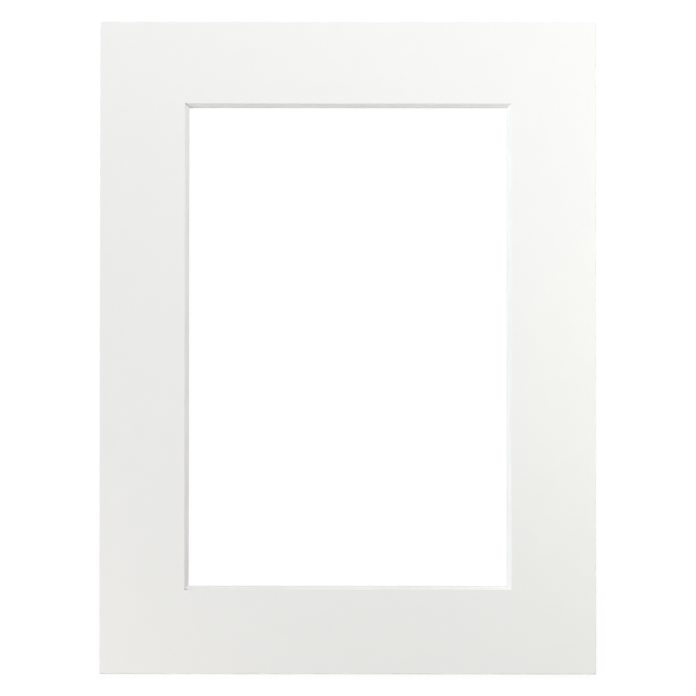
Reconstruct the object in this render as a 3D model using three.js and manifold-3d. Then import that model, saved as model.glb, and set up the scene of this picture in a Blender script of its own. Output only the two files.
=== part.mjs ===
// Picture mount: one sheet of white mount board with a bevelled window for a 6 x 4 in print.
// It lies face up on its back. The origin is the middle of the back face, +Y is the top of
// the picture and +Z comes out of the face. Sizes are in millimetres, angles in degrees.
import * as THREE from "three";
import { mergeVertices } from "three/addons/utils/BufferGeometryUtils.js";
import Module from "manifold-3d";

const INCH = 25.4;

// The board, cut to drop into the rebate of an 8 x 6 in frame.
const MOUNT_WIDTH = 6 * INCH;
const MOUNT_HEIGHT = 8 * INCH;
const BOARD_THICKNESS = 1.4;
const CORNER_BLUNTING = 0.3; // radius that handling leaves on the four outer corners
const EDGE_ROLL = 0.12; // radius where the guillotine pressed the facing paper over the edge

// The print, and how much of it the window hides along each edge.
const PRINT_WIDTH = 4 * INCH;
const PRINT_HEIGHT = 6 * INCH;
const SIDE_OVERLAP = 2.1;
const END_OVERLAP = 1.8;

// The window, cut with a blade that leans outwards from the back to the face.
const BEVEL_ANGLE = 45;
const WINDOW_RISE = 0.4; // the window sits this far above the middle of the board

const CORNER_STEPS = 5;
const ROLL_STEPS = 4;
const BLADE_OVERRUN = 3; // how far a cutting solid reaches past whatever it cuts
const MERGE_DISTANCE = 1e-4;

const wasm = await Module();
wasm.setup();

// A closed three.js geometry as a solid that can be cut and joined.
function solidOf(geometry) {
  const bare = geometry.clone();
  bare.deleteAttribute("normal");
  bare.deleteAttribute("uv");
  const merged = mergeVertices(bare, MERGE_DISTANCE);
  return new wasm.Manifold(
    new wasm.Mesh({
      numProp: 3,
      vertProperties: merged.attributes.position.array,
      triVerts: new Uint32Array(merged.index.array),
    }),
  );
}

// The cut solid as a three.js geometry with flat-shaded faces.
function geometryOf(solid) {
  const { vertProperties, triVerts } = solid.getMesh();
  const indexed = new THREE.BufferGeometry();
  indexed.setAttribute("position", new THREE.BufferAttribute(vertProperties, 3));
  indexed.setIndex(new THREE.BufferAttribute(triVerts, 1));
  const faceted = indexed.toNonIndexed();
  faceted.computeVertexNormals();
  return faceted;
}

// The outline of the board, with its four corners slightly blunted.
function boardOutline() {
  const x = MOUNT_WIDTH / 2;
  const y = MOUNT_HEIGHT / 2;
  const r = CORNER_BLUNTING;
  const turn = Math.PI / 2;
  const outline = new THREE.Shape();
  outline.moveTo(x, r - y);
  outline.lineTo(x, y - r);
  outline.absarc(x - r, y - r, r, 0, turn);
  outline.lineTo(r - x, y);
  outline.absarc(r - x, y - r, r, turn, 2 * turn);
  outline.lineTo(-x, r - y);
  outline.absarc(r - x, r - y, r, 2 * turn, 3 * turn);
  outline.lineTo(x - r, -y);
  outline.absarc(x - r, r - y, r, 3 * turn, 4 * turn);
  return outline;
}

// The guillotined board: square at the back, its face edge rolled over all round.
// The outline is extruded with rolled rims at both ends, and the back rim is trimmed off.
function boardBlank() {
  const depth = BOARD_THICKNESS + BLADE_OVERRUN;
  const rolled = new THREE.ExtrudeGeometry(boardOutline(), {
    depth: depth - 2 * EDGE_ROLL,
    curveSegments: CORNER_STEPS,
    bevelEnabled: true,
    bevelThickness: EDGE_ROLL,
    bevelSize: EDGE_ROLL,
    bevelOffset: -EDGE_ROLL,
    bevelSegments: ROLL_STEPS,
  });
  rolled.translate(0, 0, BOARD_THICKNESS - depth + EDGE_ROLL);
  const belowBack = new THREE.BoxGeometry(
    MOUNT_WIDTH + BLADE_OVERRUN,
    MOUNT_HEIGHT + BLADE_OVERRUN,
    2 * BLADE_OVERRUN,
  );
  belowBack.translate(0, 0, -BLADE_OVERRUN);
  return solidOf(rolled).subtract(solidOf(belowBack));
}

// What two opposite passes of the leaning blade free between them: a bar of keystone section,
// sight wide at the back face and wider at the front. It runs along the given axis.
function bevelledBar(sight, length, across, along) {
  const flare = 1 / Math.tan(THREE.MathUtils.degToRad(BEVEL_ANGLE));
  const low = -BLADE_OVERRUN;
  const high = BOARD_THICKNESS + BLADE_OVERRUN;
  const section = new THREE.Shape([
    new THREE.Vector2(-sight / 2 - low * flare, low),
    new THREE.Vector2(sight / 2 + low * flare, low),
    new THREE.Vector2(sight / 2 + high * flare, high),
    new THREE.Vector2(-sight / 2 - high * flare, high),
  ]);
  const bar = new THREE.ExtrudeGeometry(section, { depth: length, bevelEnabled: false });
  bar.translate(0, 0, -length / 2);
  bar.applyMatrix4(new THREE.Matrix4().makeBasis(across, new THREE.Vector3(0, 0, 1), along));
  return solidOf(bar);
}

// The piece that falls out of the window. Four blade passes meet in mitred corners.
function windowFallout() {
  const sightWidth = PRINT_WIDTH - 2 * SIDE_OVERLAP;
  const sightHeight = PRINT_HEIGHT - 2 * END_OVERLAP;
  const right = new THREE.Vector3(1, 0, 0);
  const up = new THREE.Vector3(0, 1, 0);
  const sidePasses = bevelledBar(sightWidth, MOUNT_HEIGHT, right, up.clone().negate());
  const endPasses = bevelledBar(sightHeight, MOUNT_WIDTH, up, right);
  return sidePasses.intersect(endPasses).translate([0, WINDOW_RISE, 0]);
}

const whiteBoard = new THREE.MeshStandardMaterial({
  color: 0xf0f0ed,
  roughness: 0.9,
  metalness: 0,
});

const mountBoard = new THREE.Mesh(
  geometryOf(boardBlank().subtract(windowFallout())),
  whiteBoard,
);
mountBoard.name = "mount_board";

const pictureMount = new THREE.Group();
pictureMount.name = "picture_mount";
pictureMount.add(mountBoard);

export default pictureMount;
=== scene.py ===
"""A bevel-cut picture mount lying face up, dressed and lit as in its photograph.

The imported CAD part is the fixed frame. The board is rebuilt on the frame's sizes as one closed mesh with
the marks that cutting leaves: a rolled outer edge, a soft arris, cuts that waver by a hair, and the blade's
overruns at the corners of the window.
"""

import logging
import math
from dataclasses import dataclass, field
from enum import Enum
from typing import Union

import bmesh
import bpy
from mathutils import Matrix, Vector


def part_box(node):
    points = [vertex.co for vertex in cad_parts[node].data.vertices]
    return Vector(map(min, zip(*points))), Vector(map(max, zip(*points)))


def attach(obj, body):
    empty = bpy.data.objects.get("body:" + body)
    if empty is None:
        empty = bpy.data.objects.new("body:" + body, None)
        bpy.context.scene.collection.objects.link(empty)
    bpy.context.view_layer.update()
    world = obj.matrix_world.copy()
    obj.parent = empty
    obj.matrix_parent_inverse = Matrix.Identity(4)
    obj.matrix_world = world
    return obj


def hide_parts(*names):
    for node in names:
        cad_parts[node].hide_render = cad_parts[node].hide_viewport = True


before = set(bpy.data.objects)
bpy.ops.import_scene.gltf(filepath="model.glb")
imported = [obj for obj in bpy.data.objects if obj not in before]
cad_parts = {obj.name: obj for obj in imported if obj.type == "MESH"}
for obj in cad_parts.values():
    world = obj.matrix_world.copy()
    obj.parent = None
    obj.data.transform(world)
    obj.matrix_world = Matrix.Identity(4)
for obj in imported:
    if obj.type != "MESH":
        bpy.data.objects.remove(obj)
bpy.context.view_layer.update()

MM = 0.001
BODY = "root"
BOARD_NODE = "mount_board"
IMAGE_SIZE = 696
MERGE_DISTANCE = 0.002 * MM
NOISE_RANGE = (0.3, 0.7)
NOISE_ROUGHNESS = 0.55
PAPER_GLOSS = 0.25

log = logging.getLogger("picture_mount")

Triple = tuple[float, float, float]
Colour = Triple
Operand = Union["Quantity", float, Triple]


class Corner(Enum):
    """A corner of the window, as signs along X and Y from the window's middle."""

    TOP_LEFT = (-1, 1)
    TOP_RIGHT = (1, 1)
    BOTTOM_RIGHT = (1, -1)
    BOTTOM_LEFT = (-1, -1)


class Run(Enum):
    """The direction in which a blade travelled along its cut."""

    ALONG_X = "x"
    ALONG_Y = "y"


class Quantity:
    """A number or vector inside a node tree, reckoned with by the usual signs."""

    def __init__(self, tree: "Tree", socket: bpy.types.NodeSocket) -> None:
        """Keeps the socket that carries the value.

        Args:
            tree: The tree that the socket belongs to.
            socket: The output socket of the node that gives the value.
        """
        self.tree = tree
        self.socket = socket

    def __add__(self, other: Operand) -> "Quantity":
        """The sum of the two."""
        return self.tree.reckon("ADD", self, other)

    def __sub__(self, other: Operand) -> "Quantity":
        """This less the other."""
        return self.tree.reckon("SUBTRACT", self, other)

    def __mul__(self, other: Operand) -> "Quantity":
        """The product, component by component for vectors."""
        return self.tree.reckon("MULTIPLY", self, other)

    def __truediv__(self, other: Operand) -> "Quantity":
        """The quotient, component by component for vectors."""
        return self.tree.reckon("DIVIDE", self, other)

    def __mod__(self, other: Operand) -> "Quantity":
        """What is left over after division."""
        return self.tree.reckon("MODULO", self, other)

    def __abs__(self) -> "Quantity":
        """The number or vector without its signs."""
        return self.tree.reckon("ABSOLUTE", self)

    def at_least(self, other: Operand) -> "Quantity":
        """This, or the other where that is larger."""
        return self.tree.reckon("MAXIMUM", self, other)

    def at_most(self, other: Operand) -> "Quantity":
        """This, or the other where that is smaller."""
        return self.tree.reckon("MINIMUM", self, other)

    def above(self, other: Operand) -> "Quantity":
        """One where this number is above the other, and zero elsewhere."""
        return self.tree.reckon("GREATER_THAN", self, other)

    def below(self, other: Operand) -> "Quantity":
        """One where this number is below the other, and zero elsewhere."""
        return self.tree.reckon("LESS_THAN", self, other)

    def part(self, axis: str) -> "Quantity":
        """The component of a vector along X, Y or Z."""
        return self.tree.value("ShaderNodeSeparateXYZ", {"Vector": self}, output=axis)


class Tree:
    """A node tree that is written as a row of steps."""

    def __init__(self, nodes: bpy.types.NodeTree) -> None:
        """Clears a geometry or shader tree and starts writing in it."""
        nodes.nodes.clear()
        self.nodes = nodes

    def node(self, kind: str, inputs: dict | None = None, **settings: object) -> bpy.types.Node:
        """Adds a node.

        Args:
            kind: Blender's type name of the node.
            inputs: What goes into its sockets, by name or number.
            settings: The node's own settings.

        Returns:
            The new node.
        """
        made = self.nodes.nodes.new(kind)
        for name, setting in settings.items():
            setattr(made, name, setting)
        for key, given in (inputs or {}).items():
            self.feed(made.inputs[key], given)
        return made

    def value(
        self, kind: str, inputs: dict | None = None, output: str | int = 0, **settings: object
    ) -> Quantity:
        """Adds a node and takes one of its results.

        Args:
            kind: Blender's type name of the node.
            inputs: What goes into its sockets, by name or number.
            output: The socket to take, by name or number.
            settings: The node's own settings.

        Returns:
            The result, to be reckoned with.
        """
        return Quantity(self, self.node(kind, inputs, **settings).outputs[output])

    def feed(self, socket: bpy.types.NodeSocket, given: object) -> None:
        """Links a result to an input socket, or writes a plain value there.

        Args:
            socket: The input socket.
            given: A quantity or a plain value.
        """
        if isinstance(given, Quantity):
            self.nodes.links.new(given.socket, socket)
        elif socket.type == "VECTOR" and isinstance(given, (int, float)):
            socket.default_value = (given, given, given)
        else:
            socket.default_value = given

    def reckon(self, operation: str, *operands: Operand) -> Quantity:
        """Applies one arithmetic operation, on vectors if any operand is one.

        Args:
            operation: The name that Math and Vector Math share for it.
            operands: What it is applied to.

        Returns:
            The result.
        """
        vector = any(isinstance(each, tuple) or is_vector(each) for each in operands)
        kind = "ShaderNodeVectorMath" if vector else "ShaderNodeMath"
        return self.value(kind, dict(enumerate(operands)), operation=operation)

    def vector(self, x: Operand = 0.0, y: Operand = 0.0, z: Operand = 0.0) -> Quantity:
        """A vector from its three components."""
        return self.value("ShaderNodeCombineXYZ", {"X": x, "Y": y, "Z": z})

    def remap(
        self, given: Operand, low: Operand, high: Operand, start: Operand = 0.0, end: Operand = 1.0
    ) -> Quantity:
        """Maps a number from one range to another, and holds it at the ends.

        Args:
            given: The number.
            low: Where it gives start.
            high: Where it gives end.
            start: The result at low.
            end: The result at high.

        Returns:
            The mapped number.
        """
        ends = {"From Min": low, "From Max": high, "To Min": start, "To Max": end}
        return self.value("ShaderNodeMapRange", {"Value": given, **ends}, output="Result")

    def noise(self, place: Quantity, length: float | Triple, seed: float, detail: float = 2.0) -> Quantity:
        """Smooth noise around one half.

        Args:
            place: The position on the object, in metres.
            length: The size of its features in millimetres, one for all axes or one for each.
            seed: Picks the pattern.
            detail: How many finer layers it has.

        Returns:
            A number that mostly lies in NOISE_RANGE.
        """
        lengths = length if isinstance(length, tuple) else (length, length, length)
        scaled = place * tuple(1 / (MM * each) for each in lengths)
        inputs = {"Vector": scaled, "W": seed, "Scale": 1.0, "Detail": detail, "Roughness": NOISE_ROUGHNESS}
        return self.value("ShaderNodeTexNoise", inputs, noise_dimensions="4D")


def is_vector(given: Operand) -> bool:
    """Says whether an operand is a vector inside a tree."""
    return isinstance(given, Quantity) and given.socket.type == "VECTOR"


class ShapeTree(Tree):
    """A geometry tree with named sizes that grows one plain mesh."""

    def __init__(self, name: str, sizes: dict[str, float]) -> None:
        """Makes the tree with one input for each size.

        Args:
            name: The tree's name.
            sizes: The sizes in metres by their names.
        """
        super().__init__(bpy.data.node_groups.new(name, "GeometryNodeTree"))
        self.given: dict[str, object] = {}
        for label, size in sizes.items():
            self.add_input(label, "NodeSocketFloat", size)
        self.nodes.interface.new_socket(name="Geometry", in_out="OUTPUT", socket_type="NodeSocketGeometry")

    def add_input(self, label: str, kind: str, value: object) -> None:
        """Adds a named input and keeps the value that the modifier is to give it.

        Args:
            label: The input's name.
            kind: Its socket type.
            value: The value.
        """
        socket = self.nodes.interface.new_socket(name=label, in_out="INPUT", socket_type=kind)
        self.given[socket.identifier] = value

    def size(self, label: str) -> Quantity:
        """One of the named inputs."""
        return self.value("NodeGroupInput", output=label)

    def curve_points(self, curve: Quantity) -> Quantity:
        """The number of points of a curve."""
        inputs = {"Geometry": curve}
        return self.value("GeometryNodeAttributeDomainSize", inputs, "Point Count", component="CURVE")

    def divide(self, curve: Quantity, step: Operand, most: float) -> Quantity:
        """Cuts each straight of a closed curve into even steps.

        Args:
            curve: The closed curve.
            step: The longest step wanted.
            most: The most cuts that a straight may get.

        Returns:
            The divided curve.
        """
        here = self.value("GeometryNodeInputPosition")
        following = (self.value("GeometryNodeInputIndex") + 1.0) % self.curve_points(curve)
        inputs = {"Value": here, "Index": following}
        there = self.value("GeometryNodeFieldAtIndex", inputs, domain="POINT", data_type="FLOAT_VECTOR")
        length = self.value("ShaderNodeVectorMath", {0: here, 1: there}, "Value", operation="DISTANCE")
        cuts = self.reckon("FLOOR", length / step).at_most(most)
        return self.value("GeometryNodeSubdivideCurve", {"Curve": curve, "Cuts": cuts})

    def point_of(self, curve: Quantity, index: Quantity) -> Quantity:
        """Finds the place of one point of a closed curve.

        Args:
            curve: The curve.
            index: The point's number, counted round and round.

        Returns:
            The point's position.
        """
        inputs = {
            "Geometry": curve,
            "Value": self.value("GeometryNodeInputPosition"),
            "Index": index % self.curve_points(curve),
        }
        return self.value("GeometryNodeSampleIndex", inputs, data_type="FLOAT_VECTOR", domain="POINT")

    def grow(self, name: str, shape: Quantity) -> bpy.types.Object:
        """Ends the tree, evaluates it once, and keeps the result as a plain mesh.

        Args:
            name: The new object's name.
            shape: The finished geometry.

        Returns:
            An object at the origin with no modifier.
        """
        self.node("NodeGroupOutput", {"Geometry": shape})
        seed = bpy.data.meshes.new(name + "_seed")
        grown = bpy.data.objects.new(name, seed)
        bpy.context.scene.collection.objects.link(grown)
        modifier = grown.modifiers.new("shape", "NODES")
        modifier.node_group = self.nodes
        for identifier, value in self.given.items():
            modifier[identifier] = value
        depsgraph = bpy.context.evaluated_depsgraph_get()
        mesh = bpy.data.meshes.new_from_object(grown.evaluated_get(depsgraph))
        grown.modifiers.clear()
        mesh.name = name
        # Set Material leaves the empty slot that new faces start with.
        for slot in reversed(range(len(mesh.materials))):
            if mesh.materials[slot] is None:
                mesh.materials.pop(index=slot)
        grown.data = mesh
        bpy.data.meshes.remove(seed)
        return grown


class Surface:
    """A matte material under construction, on the object's own coordinates."""

    def __init__(self, name: str) -> None:
        """Starts the material with a plain matte shader.

        Args:
            name: The material's name.
        """
        self.material = bpy.data.materials.new(name)
        self.material.use_nodes = True
        self.tree = Tree(self.material.node_tree)
        self.place = self.tree.value("ShaderNodeTexCoord", output="Object")
        matte = {"Metallic": 0.0, "Specular IOR Level": PAPER_GLOSS}
        self.shader = self.tree.node("ShaderNodeBsdfPrincipled", matte)
        shaded = Quantity(self.tree, self.shader.outputs["BSDF"])
        self.tree.node("ShaderNodeOutputMaterial", {"Surface": shaded})

    def noise(self, length: float | Triple, seed: float, detail: float = 2.0) -> Quantity:
        """Noise with features of the given length in millimetres."""
        return self.tree.noise(self.place, length, seed, detail)

    def vary(self, noise: Quantity, low: float, high: float) -> Quantity:
        """Stretches noise so that it runs from low to high."""
        return self.tree.remap(noise, *NOISE_RANGE, low, high)

    def paint(self, colour: Quantity, roughness: Quantity) -> None:
        """Gives the shader its colour and roughness."""
        self.tree.feed(self.shader.inputs["Base Color"], colour)
        self.tree.feed(self.shader.inputs["Roughness"], roughness)

    def raise_grain(self, height: Quantity, depth: float) -> None:
        """Roughens the surface.

        Args:
            height: The relief, from 0 to 1.
            depth: The height in metres that 1 stands for.
        """
        bump = self.tree.value("ShaderNodeBump", {"Height": height, "Distance": depth, "Strength": 1.0})
        self.tree.feed(self.shader.inputs["Normal"], bump)


@dataclass(frozen=True)
class FacingPaper:
    """The smooth white paper on the face of the board.

    Attributes:
        name: The material's name.
        colour: Its colour in full light.
        cloud_size: The size in millimetres of the faint clouds that the pulp forms.
        cloud_contrast: How far those clouds depart from the colour, as a share of it.
        cloud_share: How much of the shading the clouds make. The fibres make the rest.
        fibre_size: The size in millimetres of its short fibres.
        tooth_size: The size in millimetres of the surface's fine tooth.
        tooth_depth: The depth of that tooth, in metres.
        roughness: How dull it is at its smoothest and at its roughest.
    """

    name: str = "facing_paper"
    colour: Colour = (0.872, 0.872, 0.854)
    cloud_size: float = 7.0
    cloud_contrast: float = 0.008
    cloud_share: float = 0.7
    fibre_size: Triple = (2.4, 0.5, 1.0)
    tooth_size: float = 0.35
    tooth_depth: float = 0.005 * MM
    roughness: tuple[float, float] = (0.82, 0.94)

    def material(self) -> bpy.types.Material:
        """Builds the material.

        Returns:
            Paper with faint clouds, short fibres and a fine tooth.
        """
        surface = Surface(self.name)
        clouds = surface.noise(self.cloud_size, seed=3.0, detail=4.0)
        fibres = surface.noise(self.fibre_size, seed=11.0, detail=3.0)
        pulp = clouds * self.cloud_share + fibres * (1 - self.cloud_share)
        shade = surface.vary(pulp, 1 - self.cloud_contrast, 1 + self.cloud_contrast)
        tooth = surface.noise(self.tooth_size, seed=5.0, detail=3.0)
        surface.paint(shade * self.colour, surface.vary(tooth, *self.roughness))
        surface.raise_grain(tooth, self.tooth_depth)
        return surface.material


@dataclass(frozen=True)
class BackingPaper:
    """The plainer paper on the back of the board.

    Attributes:
        name: The material's name.
        colour: Its colour in full light.
        fibre_size: The size in millimetres of its long fibres.
        fibre_contrast: How far those fibres depart from the colour, as a share of it.
        fleck_size: The size in millimetres of its flecks.
        fleck_limits: The noise at which a fleck begins and at which it is full.
        fleck_contrast: How much darker its flecks are, as a share of the colour.
        tooth_size: The size in millimetres of its coarse tooth.
        tooth_depth: The depth of that tooth, in metres.
        roughness: How dull it is at its smoothest and at its roughest.
    """

    name: str = "backing_paper"
    colour: Colour = (0.80, 0.79, 0.75)
    fibre_size: Triple = (3.0, 0.7, 1.0)
    fibre_contrast: float = 0.015
    fleck_size: float = 0.8
    fleck_limits: tuple[float, float] = (0.66, 0.72)
    fleck_contrast: float = 0.05
    tooth_size: float = 0.5
    tooth_depth: float = 0.012 * MM
    roughness: tuple[float, float] = (0.88, 0.97)

    def material(self) -> bpy.types.Material:
        """Builds the material.

        Returns:
            Paper with long fibres, a few flecks and a coarse tooth.
        """
        surface = Surface(self.name)
        fibres = surface.noise(self.fibre_size, seed=21.0, detail=5.0)
        specks = surface.noise(self.fleck_size, seed=23.0)
        flecks = surface.tree.remap(specks, *self.fleck_limits, 1.0, 1 - self.fleck_contrast)
        shade = surface.vary(fibres, 1 - self.fibre_contrast, 1 + self.fibre_contrast) * flecks
        tooth = surface.noise(self.tooth_size, seed=25.0, detail=4.0)
        surface.paint(shade * self.colour, surface.vary(tooth, *self.roughness))
        surface.raise_grain(tooth, self.tooth_depth)
        return surface.material


@dataclass(frozen=True)
class CutBoard:
    """The board's core where a blade has cut it, with the papers' edges on both sides.

    Attributes:
        run: The direction in which the blade travelled.
        thickness: The board's thickness, in metres.
        colour: The core's colour in full light.
        paper_layer: The thickness of the papers that face and back the core, in metres.
        line_tone: How bright the glue line under the facing is, as a share of the core.
        line_width: How far that line fades out on each side, in metres.
        lowest_strip_tone: How bright the lowest strip of the cut is, next to the back, as a share of the
            core.
        fibre_size: The size in millimetres of the cut fibres, along the cut, across it and up.
        fibre_contrast: How far those fibres depart from the colour, as a share of it.
        fibre_depth: The depth of the relief that they leave, in metres.
        drag_size: The size in millimetres of the long streaks that the blade dragged, likewise.
        drag_contrast: How far those streaks depart from the colour, as a share of it.
        roughness: How dull the cut is at its smoothest and at its roughest.
    """

    run: Run
    thickness: float
    colour: Colour = (0.872, 0.872, 0.854)
    paper_layer: float = 0.16 * MM
    line_tone: float = 0.985
    line_width: float = 0.035 * MM
    lowest_strip_tone: float = 0.90
    fibre_size: Triple = (2.2, 0.3, 0.16)
    fibre_contrast: float = 0.02
    fibre_depth: float = 0.010 * MM
    drag_size: Triple = (16.0, 0.7, 0.5)
    drag_contrast: float = 0.045
    roughness: tuple[float, float] = (0.9, 1.0)

    def drawn(self, size: Triple) -> Triple:
        """Turns a size, given along, across and up, so that it runs along the cut."""
        along, across, up = size
        return (along, across, up) if self.run is Run.ALONG_X else (across, along, up)

    def material(self) -> bpy.types.Material:
        """Builds the material.

        Returns:
            Pulp with fibres and streaks drawn out along the cut, a faint line under the facing and a darker
            strip along its lowest edge, next to the back.
        """
        surface = Surface("cut_board_along_" + self.run.value)
        tree = surface.tree
        fibres = surface.noise(self.drawn(self.fibre_size), seed=31.0, detail=4.0)
        drags = surface.noise(self.drawn(self.drag_size), seed=37.0)
        height = surface.place.part("Z")
        under_face = abs(height - (self.thickness - self.paper_layer))
        line = tree.remap(under_face, 0.0, self.line_width, self.line_tone, 1.0)
        # Darker along the lowest strip of the cut, as deep as the backing paper, next to the back.
        backing = tree.remap(height, self.paper_layer, 1.5 * self.paper_layer, self.lowest_strip_tone, 1.0)
        shade = surface.vary(fibres, 1 - self.fibre_contrast, 1 + self.fibre_contrast) * line * backing
        shade = shade * surface.vary(drags, 1 - self.drag_contrast, 1 + self.drag_contrast)
        surface.paint(shade * self.colour, surface.vary(fibres, *self.roughness))
        surface.raise_grain(fibres, self.fibre_depth)
        return surface.material


@dataclass(frozen=True)
class BoardSizes:
    """The sizes of the board in metres, read from the frame's own node.

    Attributes:
        width: Along X.
        height: Along Y.
        thickness: Along Z.
        sight_width: The window's width at the back.
        sight_height: The window's height at the back.
        window_rise: How far the window's middle lies above the board's.
    """

    width: float
    height: float
    thickness: float
    sight_width: float
    sight_height: float
    window_rise: float

    @classmethod
    def from_frame(cls, node: str) -> "BoardSizes":
        """Measures the CAD node.

        Args:
            node: The node's name.

        Returns:
            The board's sizes.
        """
        low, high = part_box(node)
        back = [v.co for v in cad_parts[node].data.vertices if v.co.z < low.z + 0.1 * MM]
        half_width = min(abs(point.x) for point in back)
        top = min(point.y for point in back if point.y > 0)
        bottom = max(point.y for point in back if point.y < 0)
        size = high - low
        return cls(size.x, size.y, size.z, 2 * half_width, top - bottom, (top + bottom) / 2)


@dataclass(frozen=True)
class BevelWidths:
    """The bevel's width on each side of the window, as the blade's lean drifted from cut to cut.

    Attributes:
        left: The width on the left, in metres.
        right: The width on the right.
        bottom: The width along the bottom.
        top: The width along the top.
    """

    left: float = 1.36 * MM
    right: float = 1.58 * MM
    bottom: float = 1.56 * MM
    top: float = 1.26 * MM

    def at(self, corner: Corner) -> tuple[float, float]:
        """The widths of the two bevels that meet at a corner, along X and along Y."""
        right, up = corner.value
        return (self.right if right > 0 else self.left, self.top if up > 0 else self.bottom)


@dataclass(frozen=True)
class Overrun:
    """A slit or tear that the blade leaves at a corner of the window.

    Attributes:
        corner: The corner that it starts from.
        run: The cut that it carries on.
        length: How far it reaches past the corner at the face, in metres.
        opening: How far it gapes, in metres.
        depth: How far down the mitre it reaches, as a share of the bevel.
        lead: How far before the corner it begins, in metres.
        drop: How far under the face it begins, along the bevel. Below zero it breaks through the face.
    """

    corner: Corner
    run: Run
    length: float
    opening: float
    depth: float
    lead: float = 0.05 * MM
    drop: float = -0.1 * MM

    def cutter(self, sizes: BoardSizes, bevels: BevelWidths) -> list[Vector]:
        """Places the wedge that opens the slit, in the plane of its cut.

        Args:
            sizes: The board's sizes.
            bevels: The bevel's widths.

        Returns:
            The six corners of a triangular prism, three on each side.
        """
        right, up = self.corner.value
        width, height = bevels.at(self.corner)
        mitre = Vector((-right * width, -up * height, -sizes.thickness))
        foot = Vector((right * sizes.sight_width / 2, sizes.window_rise + up * sizes.sight_height / 2, 0.0))
        start = foot - mitre
        along = Vector((right, 0, 0)) if self.run is Run.ALONG_X else Vector((0, up, 0))
        uphill = (-mitre - along * -mitre.dot(along)).normalized()
        across = along.cross(uphill).normalized() * (self.opening / 2)
        top = start - uphill * self.drop
        triangle = [top + along * self.length, top - along * self.lead, start + mitre * self.depth]
        return [point - across for point in triangle] + [point + across for point in triangle]


def corner_overruns() -> list[Overrun]:
    """Lists the blade's marks at the window's corners.

    Returns:
        Two hairlines at each corner, and a tear under the paper at each of the left ones.
    """
    hairlines = [
        Overrun(corner, run, length=reach * MM, opening=0.015 * MM, depth=0.2)
        for corner, reach in zip(Corner, (0.5, 0.35, 0.3, 0.4))
        for run in Run
    ]
    under_paper = {"length": 0.0, "opening": 1.0 * MM, "drop": 0.06 * MM}
    tear = Overrun(Corner.TOP_LEFT, Run.ALONG_X, depth=0.34, lead=0.75 * MM, **under_paper)
    nick = Overrun(Corner.BOTTOM_LEFT, Run.ALONG_Y, depth=0.26, lead=0.05 * MM, **under_paper)
    return hairlines + [tear, nick]


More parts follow.
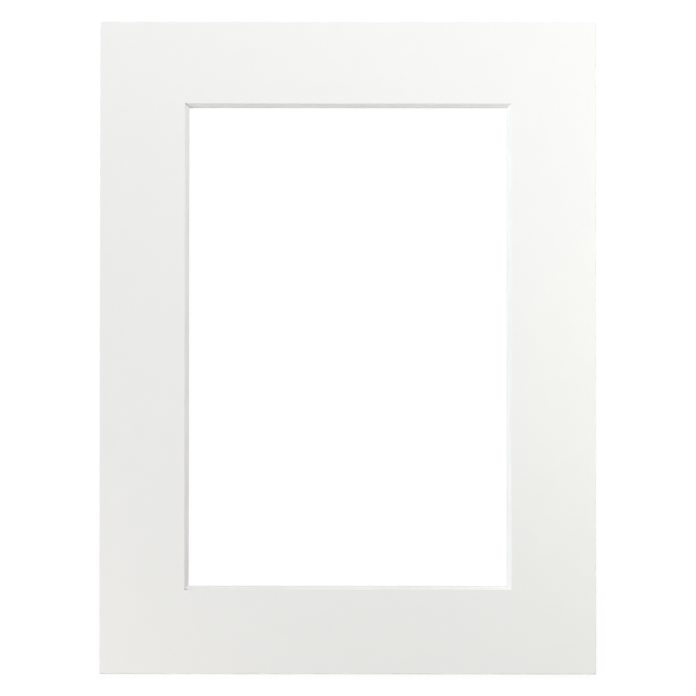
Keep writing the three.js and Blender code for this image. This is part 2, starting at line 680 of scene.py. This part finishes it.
@dataclass
class MountBoard:
    """The sheet of mount board with its bevelled window.

    Attributes:
        sizes: The sizes that the frame gives.
        bevels: The bevel's width on each side of the window.
        facing: The finish of the face.
        backing: The finish of the back.
        name: The piece's name.
        corner_radius: The blunting of the outer corners.
        edge_roll: The radius that the guillotine pressed on the face's outer edge.
        arris_radius: The softness of the edge between face and bevel.
        soft_edge: The softness of the other edges.
        waver: How far the cuts stray, always into the board.
        window_wave: The length in millimetres over which the window's cuts stray, on each axis.
        outer_wave: The same for the outer edge.
        step: The spacing of the mesh along the edges.
        section_step: The spacing of the mesh on the cut faces.
        window_margin: The strip round the window that keeps the window's own shape.
        crease_angle: The angle in degrees from which an edge is shaded sharp.
        roll_limit: How far upwards the rolled edge looks where the facing paper ends, from 0 to 1.
        arris_limit: The same where the facing paper ends at the window.
        overruns: The blade's marks at the window's corners.
    """

    sizes: BoardSizes
    bevels: BevelWidths = BevelWidths()
    facing: FacingPaper = FacingPaper()
    backing: BackingPaper = BackingPaper()
    name: str = "white_mount"
    corner_radius: float = 0.3 * MM
    edge_roll: float = 0.12 * MM
    arris_radius: float = 0.05 * MM
    soft_edge: float = 0.03 * MM
    waver: float = 0.03 * MM
    window_wave: Triple = (11.0, 11.0, 2.0)
    outer_wave: Triple = (17.0, 17.0, 3.0)
    step: float = 0.8 * MM
    section_step: float = 0.3 * MM
    window_margin: float = 3.0 * MM
    crease_angle: float = 30.0
    roll_limit: float = 0.35
    arris_limit: float = 0.85
    overruns: list[Overrun] = field(default_factory=corner_overruns)

    def build(self) -> bpy.types.Object:
        """Builds and dresses the board.

        Returns:
            The finished piece, which stands for the CAD node.
        """
        cutters = self.overrun_cutters()
        tree = self.start_tree(cutters)
        slit = self.cut_overruns(tree, self.ring(tree))
        piece = tree.grow(self.name, self.dress(tree, self.shade_smooth(tree, slit)))
        mesh = cutters.data
        bpy.data.objects.remove(cutters)
        bpy.data.meshes.remove(mesh)
        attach(piece, BODY)
        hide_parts(BOARD_NODE)
        return piece

    def start_tree(self, cutters: bpy.types.Object) -> ShapeTree:
        """Makes the geometry tree with the board's sizes as inputs.

        Args:
            cutters: The object that holds the wedges.

        Returns:
            The tree.
        """
        sizes = {
            "Width": self.sizes.width,
            "Height": self.sizes.height,
            "Thickness": self.sizes.thickness,
            "Sight Width": self.sizes.sight_width,
            "Sight Height": self.sizes.sight_height,
            "Window Rise": self.sizes.window_rise,
            "Left Bevel": self.bevels.left,
            "Right Bevel": self.bevels.right,
            "Bottom Bevel": self.bevels.bottom,
            "Top Bevel": self.bevels.top,
            "Window Margin": self.window_margin,
            "Corner Radius": self.corner_radius,
            "Edge Roll": self.edge_roll,
            "Arris Radius": self.arris_radius,
            "Soft Edge": self.soft_edge,
            "Waver": self.waver,
            "Step": self.step,
        }
        tree = ShapeTree("mount_board_shape", sizes)
        tree.add_input("Overruns", "NodeSocketObject", cutters)
        return tree

    def overrun_cutters(self) -> bpy.types.Object:
        """Makes the wedges that cut the overruns, as one mesh.

        Returns:
            A helper object that is removed once the board is cut.
        """
        shape = bmesh.new()
        for overrun in self.overruns:
            points = overrun.cutter(self.sizes, self.bevels)
            low, mid, end, low_far, mid_far, end_far = [shape.verts.new(point) for point in points]
            shape.faces.new((low, mid, end))
            shape.faces.new((end_far, mid_far, low_far))
            shape.faces.new((low, low_far, mid_far, mid))
            shape.faces.new((mid, mid_far, end_far, end))
            shape.faces.new((end, end_far, low_far, low))
        bmesh.ops.recalc_face_normals(shape, faces=shape.faces)
        mesh = bpy.data.meshes.new("overrun_wedges")
        shape.to_mesh(mesh)
        shape.free()
        wedges = bpy.data.objects.new("overrun_wedges", mesh)
        bpy.context.scene.collection.objects.link(wedges)
        return wedges

    def lean(self, tree: ShapeTree, edge_point: Quantity) -> Quantity:
        """Finds how the cuts nearest a point lean.

        Args:
            tree: The board's tree.
            edge_point: The point on the board's outline.

        Returns:
            The widths of the nearest side and end bevels, as shares of the thickness.
        """
        widths = []
        for axis, low, high in (("X", "Left Bevel", "Right Bevel"), ("Y", "Bottom Bevel", "Top Bevel")):
            beyond = edge_point.part(axis).above(0.0)
            widths.append(tree.size(low) + (tree.size(high) - tree.size(low)) * beyond)
        return tree.vector(*widths) / tree.size("Thickness")

    def border(self, tree: ShapeTree) -> Quantity:
        """The width of the side borders at the back."""
        return (tree.size("Width") - tree.size("Sight Width")) * 0.5

    def section(self, tree: ShapeTree) -> Quantity:
        """Draws the board's section, with X going inwards from the outer edge and Y up.

        Args:
            tree: The board's tree.

        Returns:
            A closed curve with softened corners, cut into short steps on the cut faces.
        """
        thickness = tree.size("Thickness")
        border = self.border(tree)
        points = {
            "Point 1": (0.0, 0.0, 0.0),
            "Point 2": tree.vector(0.0, thickness),
            "Point 3": tree.vector(border - thickness, thickness),
            "Point 4": tree.vector(border),
        }
        sharp = tree.value("GeometryNodeCurvePrimitiveQuadrilateral", points, mode="POINTS")
        pick = tree.node("GeometryNodeIndexSwitch", data_type="FLOAT")
        for _ in range(2):
            pick.index_switch_items.new()
        tree.feed(pick.inputs["Index"], tree.value("GeometryNodeInputIndex"))
        for number, label in enumerate(("Soft Edge", "Edge Roll", "Arris Radius", "Soft Edge")):
            tree.feed(pick.inputs[number + 1], tree.size(label))
        rounding = {"Curve": sharp, "Count": 3, "Radius": Quantity(tree, pick.outputs[0])}
        rounded = tree.value("GeometryNodeFilletCurve", rounding, mode="POLY")
        return tree.divide(rounded, self.section_step, most=6.0)

    def outline(self, tree: ShapeTree) -> Quantity:
        """Draws the board's outline.

        Args:
            tree: The board's tree.

        Returns:
            A closed curve with blunted corners, cut into steps.
        """
        edges = {"Width": tree.size("Width"), "Height": tree.size("Height")}
        sharp = tree.value("GeometryNodeCurvePrimitiveQuadrilateral", edges, mode="RECTANGLE")
        rounding = {"Curve": sharp, "Count": 5, "Radius": tree.size("Corner Radius")}
        rounded = tree.value("GeometryNodeFilletCurve", rounding, mode="POLY")
        return tree.divide(rounded, tree.size("Step"), most=400.0)

    def ring(self, tree: ShapeTree) -> Quantity:
        """Carries the section round the outline, and shapes its inner side to the window.

        Args:
            tree: The board's tree.

        Returns:
            The closed board with its window.
        """
        outline, section = self.outline(tree), self.section(tree)
        columns, rows = tree.curve_points(outline), tree.curve_points(section)
        sheet = tree.value("GeometryNodeMeshGrid", {"Vertices X": columns + 1.0, "Vertices Y": rows + 1.0})
        number = tree.value("GeometryNodeInputIndex")
        edge_point = tree.point_of(outline, tree.reckon("FLOOR", number / (rows + 1.0)))
        section_point = tree.point_of(section, number % (rows + 1.0))
        depth, height = section_point.part("X"), section_point.part("Y")

        radius = tree.size("Corner Radius")
        core = tree.vector(tree.size("Width") * 0.5 - radius, tree.size("Height") * 0.5 - radius, 1.0)
        inside = edge_point.at_most(core).at_least(core * -1.0)
        outwards = (edge_point - inside) / radius
        outer = inside + outwards * (radius - depth.at_most(radius))

        border, thickness = self.border(tree), tree.size("Thickness")
        margin = tree.size("Window Margin")
        sight = tree.vector(tree.size("Sight Width") * 0.5, tree.size("Sight Height") * 0.5, 1.0)
        on_sight = (edge_point * (sight / core)).at_most(sight).at_least(sight * -1.0)
        mitred = outwards / abs(outwards) * tree.reckon("CEIL", abs(outwards) - 0.001)
        rise = tree.vector(0.0, tree.size("Window Rise"))
        inner = on_sight + mitred * self.lean(tree, edge_point) * (border - depth).at_most(margin) + rise

        share = tree.remap(depth, radius, border - margin)
        flat = outer + (inner - outer) * share
        place = flat + tree.vector(0.0, 0.0, height)

        on_cut = depth.above(border - thickness - 0.15 * MM)
        stray = tree.remap(tree.noise(place, self.window_wave, seed=41.0), *NOISE_RANGE)
        on_edge = depth.below(radius)
        dent = tree.remap(tree.noise(place, self.outer_wave, seed=43.0), *NOISE_RANGE)
        shift = mitred * (stray * on_cut) - outwards * (dent * on_edge)
        place = place + shift * tree.size("Waver")

        lofted = tree.value("GeometryNodeSetPosition", {"Geometry": sheet, "Position": place})
        return tree.value("GeometryNodeMergeByDistance", {"Geometry": lofted, "Distance": MERGE_DISTANCE})

    def cut_overruns(self, tree: ShapeTree, board: Quantity) -> Quantity:
        """Cuts the blade's overruns out of the board.

        Args:
            tree: The board's tree.
            board: The closed board.

        Returns:
            The board with its slits.
        """
        wedges = tree.value("GeometryNodeObjectInfo", {"Object": tree.size("Overruns")}, "Geometry")
        inputs = {"Mesh 1": board, "Mesh 2": wedges}
        return tree.value("GeometryNodeMeshBoolean", inputs, operation="DIFFERENCE", solver="MANIFOLD")

    def shade_smooth(self, tree: ShapeTree, board: Quantity) -> Quantity:
        """Smooths the shading of the board but keeps its creases sharp and its flat sides flat.

        Args:
            tree: The board's tree.
            board: The board.

        Returns:
            The shaded board.
        """
        inputs = {"Geometry": board, "Shade Smooth": True}
        smooth = tree.value("GeometryNodeSetShadeSmooth", inputs, domain="FACE")
        bend = tree.value("GeometryNodeInputMeshEdgeAngle", output="Unsigned Angle")
        crease = bend.above(math.radians(self.crease_angle))
        flat = abs(tree.value("GeometryNodeInputNormal").part("Z")).above(0.9999)
        inputs = {"Value": flat}
        flat_sides = tree.value("GeometryNodeFieldOnDomain", inputs, data_type="FLOAT", domain="FACE")
        # An edge between a flat face and one that isn't has a mean of one half.
        rim = abs(flat_sides - 0.5).below(0.25)
        inputs = {"Geometry": smooth, "Selection": crease.at_least(rim), "Shade Smooth": False}
        return tree.value("GeometryNodeSetShadeSmooth", inputs, domain="EDGE")

    def dress(self, tree: ShapeTree, board: Quantity) -> Quantity:
        """Gives the cuts, the back and the face their materials.

        Args:
            tree: The board's tree.
            board: The finished shape.

        Returns:
            The dressed board.
        """
        facing_way = tree.value("GeometryNodeInputNormal")
        upwards = facing_way.part("Z")
        sideways = abs(facing_way.part("X")).above(abs(facing_way.part("Y")))
        offset = abs(tree.value("GeometryNodeInputPosition") - tree.vector(0.0, tree.size("Window Rise")))
        beyond_x = offset.part("X") - tree.size("Sight Width") * 0.5
        beyond_y = offset.part("Y") - tree.size("Sight Height") * 0.5
        near_window = beyond_x.at_least(beyond_y).below(tree.size("Window Margin"))
        on_face = upwards.above(near_window * (self.arris_limit - self.roll_limit) + self.roll_limit)
        thickness = self.sizes.thickness
        steps = (
            (True, CutBoard(Run.ALONG_X, thickness).material()),
            (sideways, CutBoard(Run.ALONG_Y, thickness).material()),
            (upwards.below(-0.9), self.backing.material()),
            (on_face, self.facing.material()),
        )
        board = tree.value("GeometryNodeRealizeInstances", {"Geometry": board})
        for where, material in steps:
            inputs = {"Geometry": board, "Selection": where, "Material": material}
            board = tree.value("GeometryNodeSetMaterial", inputs)
        return board


@dataclass(frozen=True)
class PhotoCamera:
    """The camera that took the photograph, far away and leaning a little.

    Attributes:
        lens: Its focal length on a 36 mm sensor, in millimetres.
        elevation: Its angle above the horizon, in degrees.
        roll: Its turn about the line of sight, in degrees.
        aim: The point at the centre of the picture, in metres.
        mount_span: The mount's width in the photograph, in pixels.
    """

    lens: float = 1500.0
    elevation: float = 80.0
    roll: float = 0.041
    aim: Triple = (0.08 * MM, -0.03 * MM, 0.0)
    mount_span: float = 496.3

    def build(self, board_width: float) -> bpy.types.Object:
        """Makes the camera and looks through it.

        Args:
            board_width: The board's real width, in metres.

        Returns:
            The camera.
        """
        data = bpy.data.cameras.new("photo_camera")
        data.sensor_width = 36.0
        data.lens = self.lens
        data.clip_start = 0.1
        data.clip_end = 100.0
        focal_pixels = self.lens / data.sensor_width * IMAGE_SIZE
        distance = focal_pixels * board_width / self.mount_span
        lean = math.radians(self.elevation)
        back = Vector((0.0, -math.cos(lean), math.sin(lean)))
        camera = bpy.data.objects.new("photo_camera", data)
        bpy.context.scene.collection.objects.link(camera)
        turn = Matrix.Rotation(math.radians(90 - self.elevation), 4, "X")
        turn = turn @ Matrix.Rotation(math.radians(self.roll), 4, "Z")
        camera.matrix_world = Matrix.Translation(Vector(self.aim) + back * distance) @ turn
        bpy.context.scene.camera = camera
        return camera


@dataclass(frozen=True)
class SoftLamp:
    """A soft box that faces the middle of the mount.

    Attributes:
        name: Its name.
        place: Where it stands, in metres.
        sides: Its width and its height, in metres.
        power: Its power, in watts.
        colour: The colour of its light.
    """

    name: str
    place: Triple
    sides: tuple[float, float]
    power: float
    colour: Colour = (1.0, 1.0, 1.0)

    def build(self) -> bpy.types.Object:
        """Makes the lamp, unseen by the camera itself.

        Returns:
            The lamp.
        """
        data = bpy.data.lights.new(self.name, "AREA")
        data.shape = "RECTANGLE"
        data.size, data.size_y = self.sides
        data.energy = self.power
        data.color = self.colour
        lamp = bpy.data.objects.new(self.name, data)
        lamp.location = self.place
        lamp.rotation_euler = Vector(self.place).to_track_quat("Z", "Y").to_euler()
        lamp.visible_camera = False
        bpy.context.scene.collection.objects.link(lamp)
        return lamp


def studio_lamps() -> tuple[SoftLamp, ...]:
    """Lists the soft boxes round the mount.

    Returns:
        The lamp that rakes over the board from the left, three that fill it from near by, and a strip
        that brightens the edge next to the camera.
    """
    return (
        SoftLamp("left_key", (-2.30, -0.46, 0.86), (0.62, 0.62), power=27.0, colour=(0.85, 0.96, 1.0)),
        SoftLamp("top_fill", (-0.05, 0.43, 0.39), (0.15, 0.15), power=2.03, colour=(0.985, 0.975, 1.0)),
        SoftLamp("right_fill", (0.29, 0.01, 0.20), (0.09, 0.09), power=0.522, colour=(1.0, 0.985, 0.935)),
        SoftLamp("low_fill", (-0.23, -0.22, 0.16), (0.09, 0.09), power=0.356, colour=(1.0, 0.93, 0.88)),
        SoftLamp("edge_strip", (0.03, -0.165, 0.007), (0.17, 0.010), power=0.020),
    )


@dataclass(frozen=True)
class Studio:
    """The white table, the sky over it and its lamps.

    Attributes:
        lamps: The soft boxes.
        sky_strength: The even light from all round.
        sky_colour: The colour of that light.
        floor_half: Half of the floor's side, in metres.
        floor_drop: How far the floor lies under the mount, in metres.
        floor_glow: The white that the floor shows round the mount without any light.
        floor_shade: How much of the light, and so of the mount's shadow, shows on top of it.
        shade_reach: How far from the mount's middle that goes on before the floor turns plain white.
        floor_colour: What the floor throws back at the mount.
    """

    lamps: tuple[SoftLamp, ...]
    sky_strength: float = 0.08
    sky_colour: Colour = (1.0, 1.0, 1.0)
    floor_half: float = 8.0
    floor_drop: float = 0.03 * MM
    floor_glow: float = 0.90
    floor_shade: float = 0.12
    shade_reach: tuple[float, float] = (0.22, 0.40)
    floor_colour: float = 0.9

    def build(self) -> bpy.types.Object:
        """Makes the floor, the world and the lamps.

        Returns:
            The floor, which isn't part of the object.
        """
        floor = self.floor()
        self.world()
        for lamp in self.lamps:
            lamp.build()
        return floor

    def seen(self, tree: Tree) -> Quantity:
        """One for the rays that show a background, and zero for those that light the object.

        Args:
            tree: The tree that asks.

        Returns:
            The share of the background.
        """
        path = tree.node("ShaderNodeLightPath")
        kinds = ("Is Camera Ray", "Is Glossy Ray", "Is Transmission Ray")
        camera, glossy, through = [Quantity(tree, path.outputs[kind]) for kind in kinds]
        return camera.at_least(glossy).at_least(through)

    def floor(self) -> bpy.types.Object:
        """Makes the floor.

        Returns:
            A large plain sheet just under the mount.
        """
        half = self.floor_half
        corners = [(-half, -half), (half, -half), (half, half), (-half, half)]
        mesh = bpy.data.meshes.new("floor")
        mesh.from_pydata([(x, y, -self.floor_drop) for x, y in corners], [], [(0, 1, 2, 3)])
        floor = bpy.data.objects.new("floor", mesh)
        bpy.context.scene.collection.objects.link(floor)
        mesh.materials.append(self.floor_material())
        return floor

    def floor_material(self) -> bpy.types.Material:
        """Builds a white that keeps a soft shadow.

        Returns:
            The floor's material.
        """
        material = bpy.data.materials.new("white_table")
        material.use_nodes = True
        material.cycles.emission_sampling = "NONE"
        tree = Tree(material.node_tree)
        place = tree.value("ShaderNodeTexCoord", output="Object")
        distance = tree.value("ShaderNodeVectorMath", {0: place}, "Value", operation="LENGTH")
        strength = tree.remap(distance, *self.shade_reach, self.floor_glow, 1.0)
        glow = tree.value("ShaderNodeEmission", {"Color": (1.0, 1.0, 1.0, 1.0), "Strength": strength})
        shades = [
            tree.value("ShaderNodeBsdfDiffuse", {"Color": (share, share, share, 1.0)})
            for share in (self.floor_shade, self.floor_colour)
        ]
        shown = tree.value("ShaderNodeAddShader", {0: glow, 1: shades[0]})
        mixed = tree.value("ShaderNodeMixShader", {0: self.seen(tree), 1: shades[1], 2: shown})
        tree.node("ShaderNodeOutputMaterial", {"Surface": mixed})
        return material

    def world(self) -> bpy.types.World:
        """Builds the sky: white where it is seen, and an even light elsewhere.

        Returns:
            The scene's world.
        """
        world = bpy.data.worlds.new("studio_sky")
        world.use_nodes = True
        tree = Tree(world.node_tree)
        white = tree.value("ShaderNodeBackground", {"Color": (1.0, 1.0, 1.0, 1.0), "Strength": 1.0})
        faint = {"Color": (*self.sky_colour, 1.0), "Strength": self.sky_strength}
        lit = tree.value("ShaderNodeBackground", faint)
        mixed = tree.value("ShaderNodeMixShader", {0: self.seen(tree), 1: lit, 2: white})
        tree.node("ShaderNodeOutputWorld", {"Surface": mixed})
        bpy.context.scene.world = world
        return world


def main() -> None:
    """Builds the board, then the camera and the studio round it."""
    logging.basicConfig(level=logging.INFO, format="%(name)s: %(message)s")
    sizes = BoardSizes.from_frame(BOARD_NODE)
    log.info("the frame gives %s", sizes)
    board = MountBoard(sizes).build()
    log.info("%s has %d faces", board.name, len(board.data.polygons))
    camera = PhotoCamera().build(sizes.width)
    log.info("%s stands %.2f m above the floor", camera.name, camera.matrix_world.translation.z)
    floor = Studio(lamps=studio_lamps()).build()
    log.info("%s and lamps are in place", floor.name)
    bpy.context.scene.view_settings.view_transform = "Standard"


if __name__ == "__main__":
    main()
